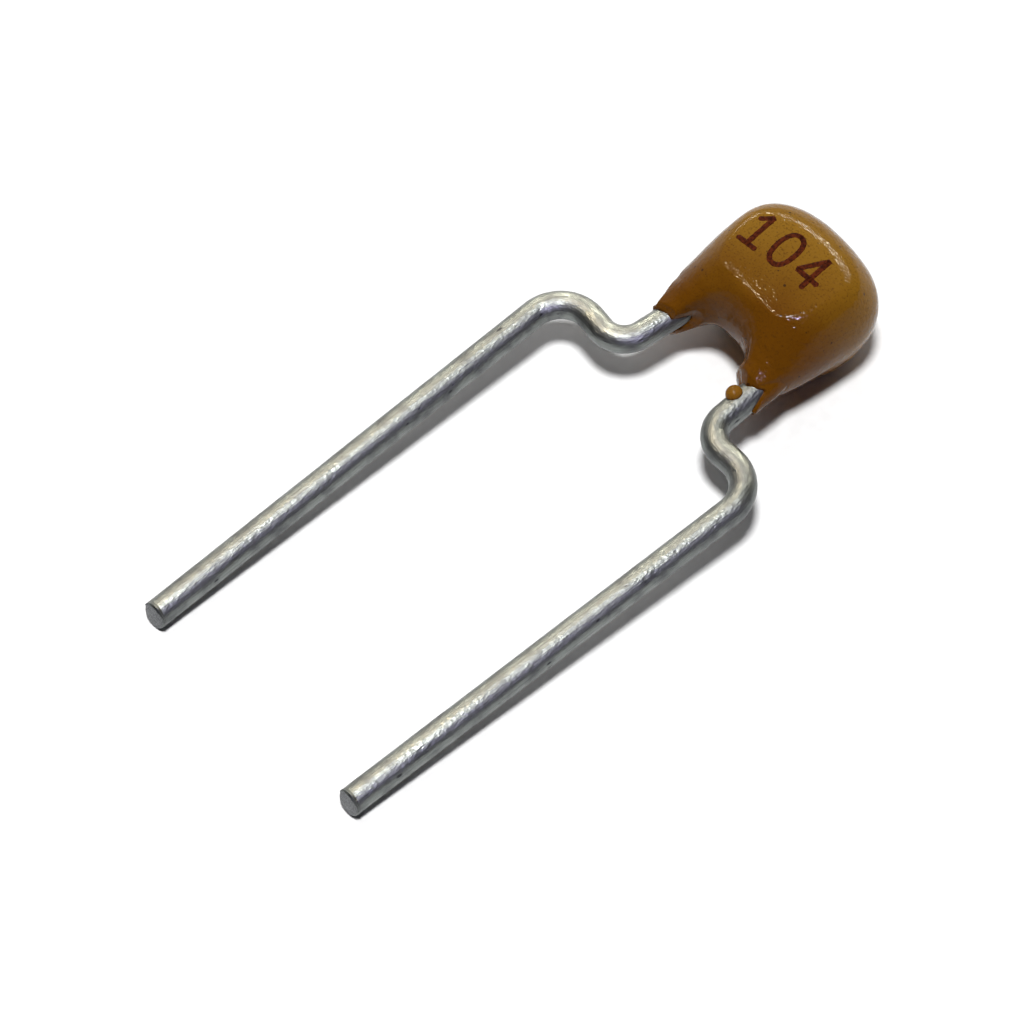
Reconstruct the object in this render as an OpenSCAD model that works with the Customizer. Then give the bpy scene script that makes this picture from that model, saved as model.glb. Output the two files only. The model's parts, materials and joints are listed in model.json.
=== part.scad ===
// Radial multilayer ceramic capacitor, dip coated, lying loose on a flat surface.
//
// The pieces are modelled in the body's own frame: the origin is the middle of the chip, X runs across
// the leads, Y runs from the lead tips towards the crown of the coating, and Z is square to the plane
// of the leads. at_rest() then lays the finished part down: on the belly of the coating and both tips.

/* [Chip] */
// Length of the chip between its two end faces
chip_length = 1.55; // [1.25:0.05:1.8]
// Width of the chip along the leads
chip_width = 1.15; // [0.9:0.05:1.4]
// Thickness of the chip
chip_thickness = 0.85; // [0.7:0.05:1.1]
// Thickness of the fired metal on the ends of the chip
end_metal = 0.04; // [0.02:0.01:0.06]
// How far the end metal reaches along the sides of the chip
end_band = 0.3; // [0.2:0.05:0.4]

/* [Electrodes] */
// Number of electrode plates in the stack, half of them on each side
plate_count = 10; // [4:2:14]
// Thickness of one electrode plate
plate_thickness = 0.02; // [0.01:0.005:0.03]
// Bare ceramic above the top plate and below the bottom one
cover_thickness = 0.08; // [0.05:0.01:0.14]
// Bare ceramic between a plate's free edges and the side of the block
plate_margin = 0.14; // [0.1:0.02:0.2]

/* [Leads] */
// Diameter of the tinned wire
lead_d = 0.5; // [0.4:0.02:0.56]
// Distance between the two straight leads where they leave their kinks
lead_spacing = 5.22; // [4.9:0.1:6.4]
// How far the chip sits to the right of the midline between the kinks
body_shift = 0.03; // [0:0.01:0.15]
// Inward lean of the straight left lead, in degrees
left_lean = 3.1; // [1:0.1:5]
// Outward lean of the straight right lead, in degrees
right_lean = 1; // [0:0.1:3]
// Straight length of the left lead, from its kink to its cut tip
left_lead_length = 8.65; // [6:0.05:12]
// Straight length of the right lead, from its kink to its cut tip
right_lead_length = 8.35; // [6:0.05:12]
// Distance from the end of the lead up to the chip's upper edge
lead_end_margin = 0.115; // [0.06:0.005:0.3]
// Length of lead below the chip's lower edge before the necks splay apart
straight_below_chip = 0.875; // [0.7:0.025:1]
// Angle by which the necks splay apart below the coating
neck_splay = 4; // [1:0.5:6]
// Centre line radius of the slight bend that splays the necks
splay_bend_r = 1; // [0.6:0.1:1.5]
// Straight length of the splayed neck, down to its kink
neck_length = 0.77; // [0.6:0.01:1.4]
// Centre line radius of the bend next to the coating
inner_bend_r = 0.5; // [0.4:0.02:0.6]
// Centre line radius of the bend at the top of the straight lead
outer_bend_r = 0.68; // [0.5:0.02:0.76]

/* [Solder] */
// Thickness of the solder between lead and end metal, and round the lead
solder_film = 0.02; // [0.01:0.01:0.05]
// How far the solder stays short of the edges of the chip's end
solder_margin = 0.05; // [0.02:0.01:0.1]

/* [Coating] */
// Coating outside the right lead, where it is thinnest
side_wall = 0.135; // [0.1:0.005:0.4]
// Coating over the face of the chip, at the edge of the flats
face_wall = 0.635; // [0.3:0.005:0.8]
// Coating above the chip, at the crown
crown_wall = 0.925; // [0.5:0.025:1.3]
// Coating below the chip, at the top of the arch between the legs
arch_wall = 0.545; // [0.4:0.005:0.65]
// Coating round the lead at the end of each leg
leg_wall = 0.07; // [0.04:0.01:0.12]
// Length of the left leg below the arch
left_leg_length = 0.72; // [0.55:0.01:1]
// Length of the right leg below the arch
right_leg_length = 0.53; // [0.4:0.01:0.8]
// Height of the coating's widest place above the middle of the chip
shoulder_height = 0.35; // [0:0.05:0.6]
// How far the coating sits off the middle of the chip to the left
coat_shift = 0.1; // [0:0.02:0.12]
// How far each leg of the coating sits to the left of its lead, which bares one flank of the lead
leg_shift = 0.07; // [0:0.01:0.08]

/* [Flats of the coating] */
// How far the flat reaches past each end of the chip
flat_side_margin = 0.225; // [0.1:0.025:0.3]
// How far the flat reaches above the chip
flat_top_margin = 0.125; // [0:0.025:0.3]
// How far the flat reaches below the chip at its middle
flat_bottom_margin = 0.055; // [0:0.005:0.1]
// How much lower than its middle the flat's two lower corners are
flat_corner_drop = 0.09; // [0:0.01:0.15]
// Distance of the flat's lower corners in from its sides
flat_corner_inset = 0.38; // [0.2:0.02:0.5]
// Height of the flat's widest place above the middle of the chip
flat_shoulder_height = 0.3; // [0.1:0.05:0.4]
// How far the flat bulges at its middle
flat_bulge = 0.04; // [0:0.01:0.08]

/* [Stray droplet] */
// Radius of the droplet of coating on the right neck
droplet_r = 0.15; // [0.1:0.01:0.18]
// Gap between the end of the right leg and the droplet
droplet_gap = 0.12; // [0.01:0.01:0.2]
// Angle round the neck from the top of the wire to the droplet, in degrees
droplet_angle = 30; // [0:5:80]
// How far the droplet's centre stands out of the wire's surface
droplet_rise = 0.02; // [0:0.01:0.05]

/* [Hidden] */

round_facets = 48;

// Colours
ceramic_colour = [0.80, 0.74, 0.62];
electrode_colour = [0.62, 0.60, 0.58];
end_metal_colour = [0.75, 0.76, 0.78];
solder_colour = [0.66, 0.67, 0.69];
lead_colour = [0.70, 0.71, 0.72];
coating_colour = [0.62, 0.38, 0.10];

// ---- Chip ----
lead_r = lead_d/2;
chip_end = chip_length/2;
chip_edge = chip_width/2;
chip_face = chip_thickness/2;
block_length = chip_length - 2*end_metal;
block_width = chip_width - 2*end_metal;
block_thickness = chip_thickness - 2*end_metal;
plate_width = block_width - 2*plate_margin;
plate_length = block_length - plate_margin;
stack_height = block_thickness - 2*cover_thickness;
plate_pitch = (stack_height - plate_thickness)/(plate_count - 1);

// ---- Solder ----
lead_offset = chip_end + solder_film + lead_r;
solder_length = chip_width - 2*solder_margin;
solder_foot = chip_face - solder_margin;

// ---- Path of the leads ----
// A heading is the angle from straight down (-Y) towards the outside.
left_reach = lead_spacing/2 + body_shift;
right_reach = lead_spacing/2 - body_shift;
kink_turn = 90;
run_heading = neck_splay + kink_turn;
lead_top = chip_edge - lead_end_margin;
splay_start = chip_edge + straight_below_chip;
splay_x = lead_offset + splay_bend_r*(1 - cos(neck_splay));
splay_y = -splay_start - splay_bend_r*sin(neck_splay);
run_x = splay_x + neck_length*sin(neck_splay) + inner_bend_r*(cos(neck_splay) - cos(run_heading));
run_y = splay_y - neck_length*cos(neck_splay) - inner_bend_r*(sin(run_heading) - sin(neck_splay));

// Length of a kink's sideways run that brings its lead out to the given reach
function run_length(reach, lean) =
    (reach - outer_bend_r*(cos(lean) - cos(run_heading)) - run_x)/sin(run_heading);

// Centre of a lead's cut tip, on the right-hand side; lean is positive inwards
function tip_point(reach, lean, length) =
    let (bend_y = run_y - run_length(reach, lean)*cos(run_heading)
                  - outer_bend_r*(sin(run_heading) + sin(lean)))
    [reach - length*sin(lean), bend_y - length*cos(lean)];

// Centre of a lead's outer bend, on the right-hand side
function bend_centre(reach, lean) =
    [reach - outer_bend_r*cos(lean), tip_point(reach, lean, 0)[1] + outer_bend_r*sin(lean)];

// ---- Coating round the chip, the solder and the leads ----
coat_half_width = lead_offset + lead_r + side_wall + coat_shift;
coat_half_thickness = chip_face + face_wall;
coat_crown = chip_edge + crown_wall;
coat_arch = chip_edge + arch_wall;
left_leg_end = coat_arch + left_leg_length;
right_leg_end = coat_arch + right_leg_length;
leg_r = lead_r + leg_wall;
flat_half_width = chip_end + flat_side_margin;
flat_top = chip_edge + flat_top_margin;
flat_bottom = chip_edge + flat_bottom_margin;
flat_corner = flat_bottom + flat_corner_drop;
flat_corner_x = flat_half_width - flat_corner_inset;
droplet_drop = right_leg_end + droplet_gap + droplet_r;

// ---- Outline and skin of the coating ----
crown_steps = 16;
side_steps = 14;
arch_steps = 14;
rise_steps = 11;
flat_rings = [0.66, 0.33];
crown_fullness = 0.71;
flat_fullness = 0.6;
side_drop = 0.67;
leg_outer_nose = 0.9;
leg_inner_nose = 2.15;
arch_fullness = 0.82;
flat_side_drop = 0.5;
flat_corner_nose = 0.75;
flat_inner_nose = 0.35;
flat_arch_fullness = 0.35;
leg_slimming = 0.64;
meniscus_power = 0.85;
underside_meniscus_power = 0.35;
underside_web_power = 12;

function mix(a, b, t) = a + (b - a)*t;

function bezier(a, b, c, d, t) =
    pow(1 - t, 3)*a + 3*pow(1 - t, 2)*t*b + 3*(1 - t)*t*t*c + pow(t, 3)*d;

function curve(a, b, c, d, steps) = [for (i = [0:steps - 1]) bezier(a, b, c, d, i/steps)];

// Half of the coating's outline at height z: crown, shoulder, outside of the leg, leg end, arch.
// It goes over from the full outline at the plane of the leads to the edge of the flat.
// Below that plane the web between the legs and the fillets of the legs draw back sooner.
function half_outline(z, leg_end, leg_middle) =
    let (
        round_off = sqrt(max(0, 1 - pow(z/coat_half_thickness, 2))),
        climb = max(0, (abs(z) - leg_r)/(coat_half_thickness - leg_r)),
        slim = sqrt(1 - leg_slimming*pow(min(abs(z), leg_r)/leg_r, 2)),
        shoulder_x = mix(flat_half_width, coat_half_width, round_off),
        crown_y = mix(flat_top, coat_crown, round_off),
        shoulder_y = mix(flat_shoulder_height, shoulder_height, round_off),
        web = z > 0 ? round_off : pow(round_off, underside_web_power),
        fillet = pow(climb, z > 0 ? meniscus_power : underside_meniscus_power),
        arch_y = -mix(flat_bottom, coat_arch, web),
        leg_x = mix(leg_middle, flat_corner_x, climb),
        leg_y = -mix(leg_end, flat_corner, fillet),
        outer_nose = mix(leg_r*leg_outer_nose*slim, flat_corner_inset*flat_corner_nose, climb),
        inner_nose = mix(leg_r*leg_inner_nose*slim, flat_corner_x*flat_inner_nose, climb),
        arch_width = mix(leg_middle*arch_fullness, flat_corner_x*flat_arch_fullness, climb),
        fullness = mix(crown_fullness, flat_fullness, climb),
        drop = (shoulder_y - leg_y)*mix(side_drop, flat_side_drop, climb),
        crown = [0, crown_y],
        shoulder = [shoulder_x, shoulder_y],
        leg = [leg_x, leg_y],
        arch = [0, arch_y]
    )
    concat(
        curve(crown, crown + [shoulder_x*fullness, 0],
              shoulder + [0, (crown_y - shoulder_y)*fullness], shoulder, crown_steps),
        curve(shoulder, shoulder - [0, drop], leg + [outer_nose, 0], leg, side_steps),
        curve(leg, leg - [inner_nose, 0], arch + [arch_width, 0], arch, arch_steps),
        [arch]
    );

function ring(z) =
    let (
        right = half_outline(z, right_leg_end, lead_offset + coat_shift - leg_shift),
        left = half_outline(z, left_leg_end, lead_offset - coat_shift + leg_shift)
    )
    concat(
        [for (p = right) [p[0] - coat_shift, p[1], z]],
        [for (i = [len(left) - 2:-1:1]) [-left[i][0] - coat_shift, left[i][1], z]]
    );

flat_centre = [-coat_shift, (flat_top - flat_bottom)/2];

// A ring on the bulging flat, shrunk towards the flat's middle; side is 1 above and -1 below
function flat_ring(size, side) =
    [for (p = ring(coat_half_thickness))
        [mix(flat_centre[0], p[0], size), mix(flat_centre[1], p[1], size),
         side*(coat_half_thickness + flat_bulge*(1 - size*size))]];

coat_rings = concat(
    [for (i = [len(flat_rings) - 1:-1:0]) flat_ring(flat_rings[i], -1)],
    [for (i = [-rise_steps:rise_steps]) ring(coat_half_thickness*sin(90*i/rise_steps))],
    [for (size = flat_rings) flat_ring(size, 1)]
);
coat_points = concat(
    [for (r = coat_rings) each r],
    [[flat_centre[0], flat_centre[1], -coat_half_thickness - flat_bulge],
     [flat_centre[0], flat_centre[1], coat_half_thickness + flat_bulge]]
);

// ---- How the part lies ----
turn = (left_lean + right_lean)/2;
left_tip = tip_point(left_reach, left_lean, left_lead_length);
right_tip = tip_point(right_reach, -right_lean, right_lead_length);

// Places in the plane of the leads, turned so that the leads point along -Y
function turned(p) = [p[0]*cos(turn) + p[1]*sin(turn), p[1]*cos(turn) - p[0]*sin(turn)];

left_tip_turned = turned([-left_tip[0], left_tip[1]]);
right_tip_turned = turned(right_tip);
tip_y = min(left_tip_turned[1], right_tip_turned[1]);
coat_turned = [for (p = coat_points) [turned(p)[0], turned(p)[1], p[2]]];
tilt = max([for (p = coat_turned) atan((-lead_r - p[2])/(p[1] - tip_y))]);
lift = lead_r*cos(tilt) - tip_y*sin(tilt);

left_bend = bend_centre(left_reach, left_lean);
right_bend = bend_centre(right_reach, -right_lean);
x_low = turned([-left_bend[0], left_bend[1]])[0] - outer_bend_r - lead_r;
x_high = turned(right_bend)[0] + outer_bend_r + lead_r;
y_low = tip_y*cos(tilt) - lead_r*sin(tilt);
y_high = max([for (p = coat_turned) p[1]*cos(tilt) - p[2]*sin(tilt)]);

module at_rest() {
    translate([-(x_low + x_high)/2, -(y_low + y_high)/2, lift])
        rotate([tilt, 0, 0])
        rotate([0, 0, -turn])
        children();
}

// ---- Plain shapes that the pieces are cut from ----
module centred_box(length, width, thickness) {
    translate([-length/2, -width/2, -thickness/2]) cube([length, width, thickness]);
}

module on_left() {
    mirror([1, 0, 0]) children();
}

// One plate of the stack; it runs to the block's right-hand end, and past it by a given length
module plate(level, past) {
    z = (level - (plate_count - 1)/2)*plate_pitch;
    translate([plate_margin - block_length/2, -plate_width/2, z - plate_thickness/2])
        cube([plate_length + past, plate_width, plate_thickness]);
}

module right_plates(past = 0) {
    for (level = [0:2:plate_count - 1]) plate(level, past);
}

module left_plates(past = 0) {
    for (level = [1:2:plate_count - 1]) on_left() plate(level, past);
}

module block() {
    centred_box(block_length, block_width, block_thickness);
}

module chip() {
    centred_box(chip_length, chip_width, chip_thickness);
}

// The metal cap on the right-hand end: an end wall and four short sides
module end_cap() {
    difference() {
        chip();
        block();
        translate([-end_band, 0, 0]) centred_box(chip_length, 2*chip_width, 2*chip_thickness);
    }
}

// The solder round the right-hand lead, before the lead is cut out of it.
// As a cutter it reaches a given depth into the chip, so that it opens into the chip's own space.
module solder_body(depth = 0) {
    solder_r = lead_r + solder_film;
    translate([0, solder_length/2, 0])
        rotate([90, 0, 0])
        linear_extrude(solder_length)
        union() {
            polygon([[chip_end - depth, -solder_foot], [chip_end, -solder_foot],
                     [lead_offset, -solder_r], [lead_offset, solder_r],
                     [chip_end, solder_foot], [chip_end - depth, solder_foot]]);
            intersection() {
                translate([lead_offset, 0]) circle(r = solder_r, $fn = round_facets);
                translate([chip_end, -solder_r]) square(2*solder_r);
            }
        }
}

// A stretch of straight wire along the heading; what follows starts at its end
module run(length) {
    rotate([90, 0, 0]) cylinder(h = length, r = lead_r, $fn = round_facets);
    translate([0, -length, 0]) children();
}

// A bend of the wire, outwards when the angle is positive; what follows starts at its end
module bend(radius, angle) {
    side = sign(angle);
    translate([side*radius, 0, 0]) {
        rotate([0, 0, side > 0 ? 180 : angle])
            rotate_extrude(angle = abs(angle), $fn = round_facets)
            translate([radius, 0])
            circle(r = lead_r, $fn = round_facets);
        rotate([0, 0, angle]) translate([-side*radius, 0, 0]) children();
    }
}

// The right-hand wire; lean is positive inwards
module wire(reach, lean, length) {
    translate([lead_offset, lead_top, 0])
        run(lead_top + splay_start)
        bend(splay_bend_r, neck_splay)
        run(neck_length)
        bend(inner_bend_r, kink_turn)
        run(run_length(reach, lean))
        bend(outer_bend_r, -run_heading - lean)
        run(length);
}

module right_wire() {
    wire(right_reach, -right_lean, right_lead_length);
}

module left_wire() {
    on_left() wire(left_reach, left_lean, left_lead_length);
}

// The skin of the coating as one closed solid, before its inside is cut out
module coat_skin() {
    count = len(coat_rings[0]);
    rows = len(coat_rings);
    low = rows*count;
    high = low + 1;
    last = (rows - 1)*count;
    polyhedron(
        points = coat_points,
        faces = concat(
            [for (r = [0:rows - 2], i = [0:count - 1])
                let (a = r*count + i, b = r*count + (i + 1) % count) [a, b, b + count]],
            [for (r = [0:rows - 2], i = [0:count - 1])
                let (a = r*count + i, b = r*count + (i + 1) % count) [a, b + count, a + count]],
            [for (i = [0:count - 1]) [low, (i + 1) % count, i]],
            [for (i = [0:count - 1]) [high, last + i, last + (i + 1) % count]]
        ),
        convexity = 6
    );
}

// ---- The pieces ----
module ceramic_block() {
    color(ceramic_colour) at_rest() difference() {
        block();
        right_plates(end_metal);
        left_plates(end_metal);
    }
}

module left_electrodes() {
    color(electrode_colour) at_rest() left_plates();
}

module right_electrodes() {
    color(electrode_colour) at_rest() right_plates();
}

module left_end_metal() {
    color(end_metal_colour) at_rest() on_left() end_cap();
}

module right_end_metal() {
    color(end_metal_colour) at_rest() end_cap();
}

module left_solder() {
    color(solder_colour) at_rest() difference() {
        on_left() solder_body();
        left_wire();
    }
}

module right_solder() {
    color(solder_colour) at_rest() difference() {
        solder_body();
        right_wire();
    }
}

module left_lead() {
    color(lead_colour) at_rest() left_wire();
}

module right_lead() {
    color(lead_colour) at_rest() right_wire();
}

module epoxy_coating() {
    color(coating_colour) at_rest() difference() {
        coat_skin();
        chip();
        solder_body(end_metal);
        on_left() solder_body(end_metal);
        right_wire();
        left_wire();
    }
}

module coating_droplet() {
    neck_x = splay_x + (splay_y + droplet_drop)*tan(neck_splay);
    stand = lead_r + droplet_rise;
    color(coating_colour) at_rest() difference() {
        translate([neck_x - stand*sin(droplet_angle), -droplet_drop, stand*cos(droplet_angle)])
            sphere(r = droplet_r, $fn = round_facets);
        right_wire();
    }
}

ceramic_block();
left_electrodes();
right_electrodes();
left_end_metal();
right_end_metal();
left_solder();
right_solder();
left_lead();
right_lead();
epoxy_coating();
coating_droplet();
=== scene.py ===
"""A small dipped ceramic capacitor with two kinked wire legs, lying on a pale table.

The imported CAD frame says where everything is. This script draws the legs, the dipped coat and its
stray droplet again as smooth meshes over the same sizes, stamps a plain number on the coat, gives
every solid its finish, and sets up the table, the lights and the camera.
"""

import json
import logging
import math
from dataclasses import dataclass, field
from enum import Enum

import bmesh
import bpy
from mathutils import Matrix, Vector, noise
from mathutils.bvhtree import BVHTree
from mathutils.geometry import interpolate_bezier


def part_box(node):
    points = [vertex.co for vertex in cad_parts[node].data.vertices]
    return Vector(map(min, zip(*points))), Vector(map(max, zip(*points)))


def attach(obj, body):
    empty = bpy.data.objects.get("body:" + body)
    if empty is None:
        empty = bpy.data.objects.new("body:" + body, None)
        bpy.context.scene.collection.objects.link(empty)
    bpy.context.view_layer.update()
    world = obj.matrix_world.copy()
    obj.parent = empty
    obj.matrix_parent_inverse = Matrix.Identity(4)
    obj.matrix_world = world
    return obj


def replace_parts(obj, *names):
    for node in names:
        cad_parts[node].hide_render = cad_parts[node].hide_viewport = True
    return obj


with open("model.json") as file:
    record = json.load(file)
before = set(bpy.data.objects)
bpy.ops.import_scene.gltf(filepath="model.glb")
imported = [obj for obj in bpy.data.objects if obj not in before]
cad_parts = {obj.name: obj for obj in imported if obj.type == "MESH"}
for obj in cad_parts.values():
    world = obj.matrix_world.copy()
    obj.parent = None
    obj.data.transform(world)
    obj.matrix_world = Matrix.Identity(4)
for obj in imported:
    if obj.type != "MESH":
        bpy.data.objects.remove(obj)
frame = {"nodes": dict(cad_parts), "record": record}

LOG = logging.getLogger("capacitor")
MM = 0.001
UP = Vector((0, 0, 1))

Tree = bpy.types.NodeTree
Socket = bpy.types.NodeSocket
Mesh = bmesh.types.BMesh
Layer = bmesh.types.BMLayerItem
Pair = tuple[float, float]
Triple = tuple[float, float, float]


# ---- Small helpers ----


def linear(hex_colour: str) -> tuple[float, float, float, float]:
    """Turn an sRGB hex colour to linear light.

    Args:
        hex_colour: six hex digits, such as "8A5C1E".

    Returns:
        Red, green, blue and an alpha of 1.
    """
    parts = [int(hex_colour[i : i + 2], 16) / 255 for i in (0, 2, 4)]
    red, green, blue = (c / 12.92 if c <= 0.04045 else ((c + 0.055) / 1.055) ** 2.4 for c in parts)
    return red, green, blue, 1.0


def add_node(
    tree: Tree, kind: str, settings: dict | None = None, links: dict | None = None
) -> bpy.types.Node:
    """Add one node with its settings and the links that feed it.

    Args:
        tree: the node tree that gets the node.
        kind: Blender's name for the kind of node.
        settings: values by the name of a property or by the name or number of an input.
        links: outputs of other nodes by the name or number of the input that each feeds.

    Returns:
        The new node.
    """
    node = tree.nodes.new(kind)
    for name, value in (settings or {}).items():
        if isinstance(name, str) and hasattr(node, name):
            setattr(node, name, value)
        else:
            node.inputs[name].default_value = value
    for name, source in (links or {}).items():
        tree.links.new(source, node.inputs[name])
    return node


def grains(tree: Tree, along: Socket, size: float, detail: float) -> Socket:
    """Return a noise with features of a given size, in the unit of the places it follows."""
    settings = {"Scale": 1 / size, "Detail": detail}
    return add_node(tree, "ShaderNodeTexNoise", settings, {"Vector": along}).outputs["Fac"]


def ramp(tree: Tree, value: Socket, limits: Pair, ends: Pair = (0.0, 1.0)) -> Socket:
    """Return a value taken from its limits to a new pair of ends, and held there."""
    settings = dict(zip(("From Min", "From Max", "To Min", "To Max"), limits + ends))
    return add_node(tree, "ShaderNodeMapRange", settings, {"Value": value}).outputs["Result"]


def blend(tree: Tree, share: Socket, under: str | Socket, over: str | Socket) -> Socket:
    """Mix two colours.

    Args:
        tree: the node tree that gets the node.
        share: how much of the second colour shows.
        under: the first colour, in hex or from another node.
        over: the second colour, in hex or from another node.

    Returns:
        The mixed colour.
    """
    settings: dict = {"data_type": "RGBA"}
    links = {"Factor": share}
    for socket, colour in ((6, under), (7, over)):
        if isinstance(colour, str):
            settings[socket] = linear(colour)
        else:
            links[socket] = colour
    return add_node(tree, "ShaderNodeMix", settings, links).outputs[2]


def dots(tree: Tree, along: Socket, sizes: Pair, luck: float, rim: Pair) -> Socket:
    """Scatter round dots of chance sizes.

    Args:
        tree: the node tree that gets the nodes.
        along: the places that the dots follow.
        sizes: the dots' spacing and the radius of the largest, in the unit of the places.
        luck: the share of the dots that stay too small to show.
        rim: where a dot fades in and where it is full, from its edge inwards as shares of the spacing.

    Returns:
        The share of a dot that shows at a place.
    """
    spacing, radius = sizes
    cells = add_node(tree, "ShaderNodeTexVoronoi", {"Scale": 1 / spacing}, {"Vector": along})
    lottery = add_node(tree, "ShaderNodeSeparateColor", links={"Color": cells.outputs["Color"]})
    reach = ramp(tree, lottery.outputs["Red"], (luck, 1.0), (0.0, radius / spacing))
    inside = add_node(
        tree, "ShaderNodeMath", {"operation": "SUBTRACT"}, {0: reach, 1: cells.outputs["Distance"]}
    )
    return ramp(tree, inside.outputs[0], rim)


def bump(
    tree: Tree, height: Socket, depth: float, over: Socket | None = None, sunk: bool = False
) -> Socket:
    """Raise or sink the skin by a pattern.

    Args:
        tree: the node tree that gets the node.
        height: the pattern.
        depth: its depth in mm.
        over: the normals that it is laid over, if there are any.
        sunk: whether the pattern sinks the skin.

    Returns:
        The bumped normals.
    """
    settings = {"Distance": depth * MM, "invert": sunk}
    links = {"Height": height} if over is None else {"Height": height, "Normal": over}
    return add_node(tree, "ShaderNodeBump", settings, links).outputs["Normal"]


def facing(tree: Tree, place: Socket, way: Triple) -> Socket:
    """Return how far a place lies along a way."""
    settings = {"operation": "DOT_PRODUCT", 1: Vector(way).normalized()}
    return add_node(tree, "ShaderNodeVectorMath", settings, {0: place}).outputs["Value"]


def smoothstep(low: float, high: float, value: float) -> float:
    """Return 0 below low, 1 above high, and a smooth rise between them."""
    t = min(1.0, max(0.0, (value - low) / (high - low)))
    return t * t * (3 - 2 * t)


def mix(a: float, b: float, t: float) -> float:
    """Return the value a share t of the way from a to b."""
    return a + (b - a) * t


def new_object(name: str, mesh: Mesh, materials: list[bpy.types.Material]) -> bpy.types.Object:
    """Make an object of a bmesh, at the origin.

    Args:
        name: the object's name.
        mesh: its mesh in the frame's metres; it is freed.
        materials: its material slots in order.

    Returns:
        The new object.
    """
    data = bpy.data.meshes.new(name)
    mesh.to_mesh(data)
    mesh.free()
    for material in materials:
        data.materials.append(material)
    piece = bpy.data.objects.new(name, data)
    bpy.context.scene.collection.objects.link(piece)
    return piece


def finished_object(name: str, mesh: Mesh, materials: list[bpy.types.Material]) -> bpy.types.Object:
    """Make an object as new_object does, smooth-shaded and riding on the root body."""
    piece = new_object(name, mesh, materials)
    for polygon in piece.data.polygons:
        polygon.use_smooth = True
    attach(piece, "root")
    LOG.info("%s: %d faces", name, len(piece.data.polygons))
    return piece


# ---- Finishes ----


@dataclass(frozen=True)
class Finish:
    """What every finish shares: a name and a fresh material to build on."""

    name: str = "finish"

    def start(self) -> tuple[bpy.types.Material, Tree, bpy.types.Node]:
        """Make an empty material with a shader in it.

        Returns:
            The material, its node tree and its principled shader.
        """
        material = bpy.data.materials.new(self.name)
        material.use_nodes = True
        tree = material.node_tree
        tree.nodes.clear()
        shader = add_node(tree, "ShaderNodeBsdfPrincipled")
        add_node(tree, "ShaderNodeOutputMaterial", links={"Surface": shader.outputs["BSDF"]})
        return material, tree, shader

    def place(self, tree: Tree) -> Socket:
        """Return the output that gives a point's place on the object."""
        return add_node(tree, "ShaderNodeTexCoord").outputs["Object"]


@dataclass(frozen=True)
class DippedEpoxy(Finish):
    """Filled epoxy resin, dipped and baked: a glossy ochre skin with a faint orange peel.

    The peel and its finer ripple break the glints along the ridges; the filler shows as fine darker
    grains, a few of them large enough to see one by one. The coat is painted paler towards the crown
    and deeper towards the legs, with a cloudy border between: painted light on the crown and painted
    shade on the legs, for the brighter light that falls on the crown. Sizes are in mm, and the two ends
    of this painted shading are places along its way in the frame.
    """

    name: str = "dipped_epoxy"
    colour: str = "845E1A"
    # The colour of the painted shade towards the legs, the way from shade to light, and where the painted
    # shading fades in and is full.
    shaded_colour: str = "603908"
    painted_light_way: Triple = (-0.3, 0.95, 0.0)
    shade_end: float = 4.05
    full: float = 5.7
    grain_colour: str = "4A2C0C"
    speck_colour: str = "2C1C10"
    roughness: float = 0.085
    ior: float = 1.5
    specular: float = 0.08
    gloss_spread: Pair = (0.8, 1.25)
    cloud_size: float = 0.7
    cloud_stir: float = 0.7
    grain_size: float = 0.035
    grain_limits: Pair = (0.54, 0.7)
    grain_strength: float = 0.6
    speck_sizes: Pair = (0.22, 0.03)
    speck_rim: Pair = (-0.015, 0.02)
    speck_strength: float = 0.8
    peel_size: float = 0.08
    peel_depth: float = 0.010
    ripple_size: float = 0.035
    ripple_depth: float = 0.0025

    def material(self) -> bpy.types.Material:
        """Build the material."""
        material, tree, shader = self.start()
        place = self.place(tree)
        cloud = grains(tree, place, self.cloud_size * MM, 3.0)
        stirred = add_node(
            tree,
            "ShaderNodeMath",
            {"operation": "MULTIPLY_ADD", 1: self.cloud_stir * MM},
            {0: cloud, 2: facing(tree, place, self.painted_light_way)},
        )
        # Painted light and shade: the coat is painted paler towards the crown and deeper towards the legs,
        # standing in for the brighter light on the crown.
        border = (self.shade_end + self.cloud_stir / 2) * MM, (self.full + self.cloud_stir / 2) * MM
        skin = blend(tree, ramp(tree, stirred.outputs[0], border), self.shaded_colour, self.colour)
        # The filler is finer than this: its grains, the specks and the peel are drawn as coarse as
        # they have to be to show.
        grain = grains(tree, place, self.grain_size * MM, 2.0)
        grain_share = ramp(tree, grain, self.grain_limits, (0.0, self.grain_strength))
        skin = blend(tree, grain_share, skin, self.grain_colour)
        spacing, radius = self.speck_sizes
        speck = dots(tree, place, (spacing * MM, radius * MM), 0.0, self.speck_rim)
        speck_share = ramp(tree, speck, (0.0, 1.0), (0.0, self.speck_strength))
        skin = blend(tree, speck_share, skin, self.speck_colour)
        peel = bump(tree, grains(tree, place, self.peel_size * MM, 1.0), self.peel_depth)
        ripple = bump(tree, grains(tree, place, self.ripple_size * MM, 1.0), self.ripple_depth, peel)
        sheen = self.roughness * self.gloss_spread[0], self.roughness * self.gloss_spread[1]
        shader.inputs["IOR"].default_value = self.ior
        shader.inputs["Specular IOR Level"].default_value = self.specular
        tree.links.new(skin, shader.inputs["Base Color"])
        tree.links.new(ramp(tree, cloud, (0.0, 1.0), sheen), shader.inputs["Roughness"])
        tree.links.new(ripple, shader.inputs["Normal"])
        return material


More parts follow.
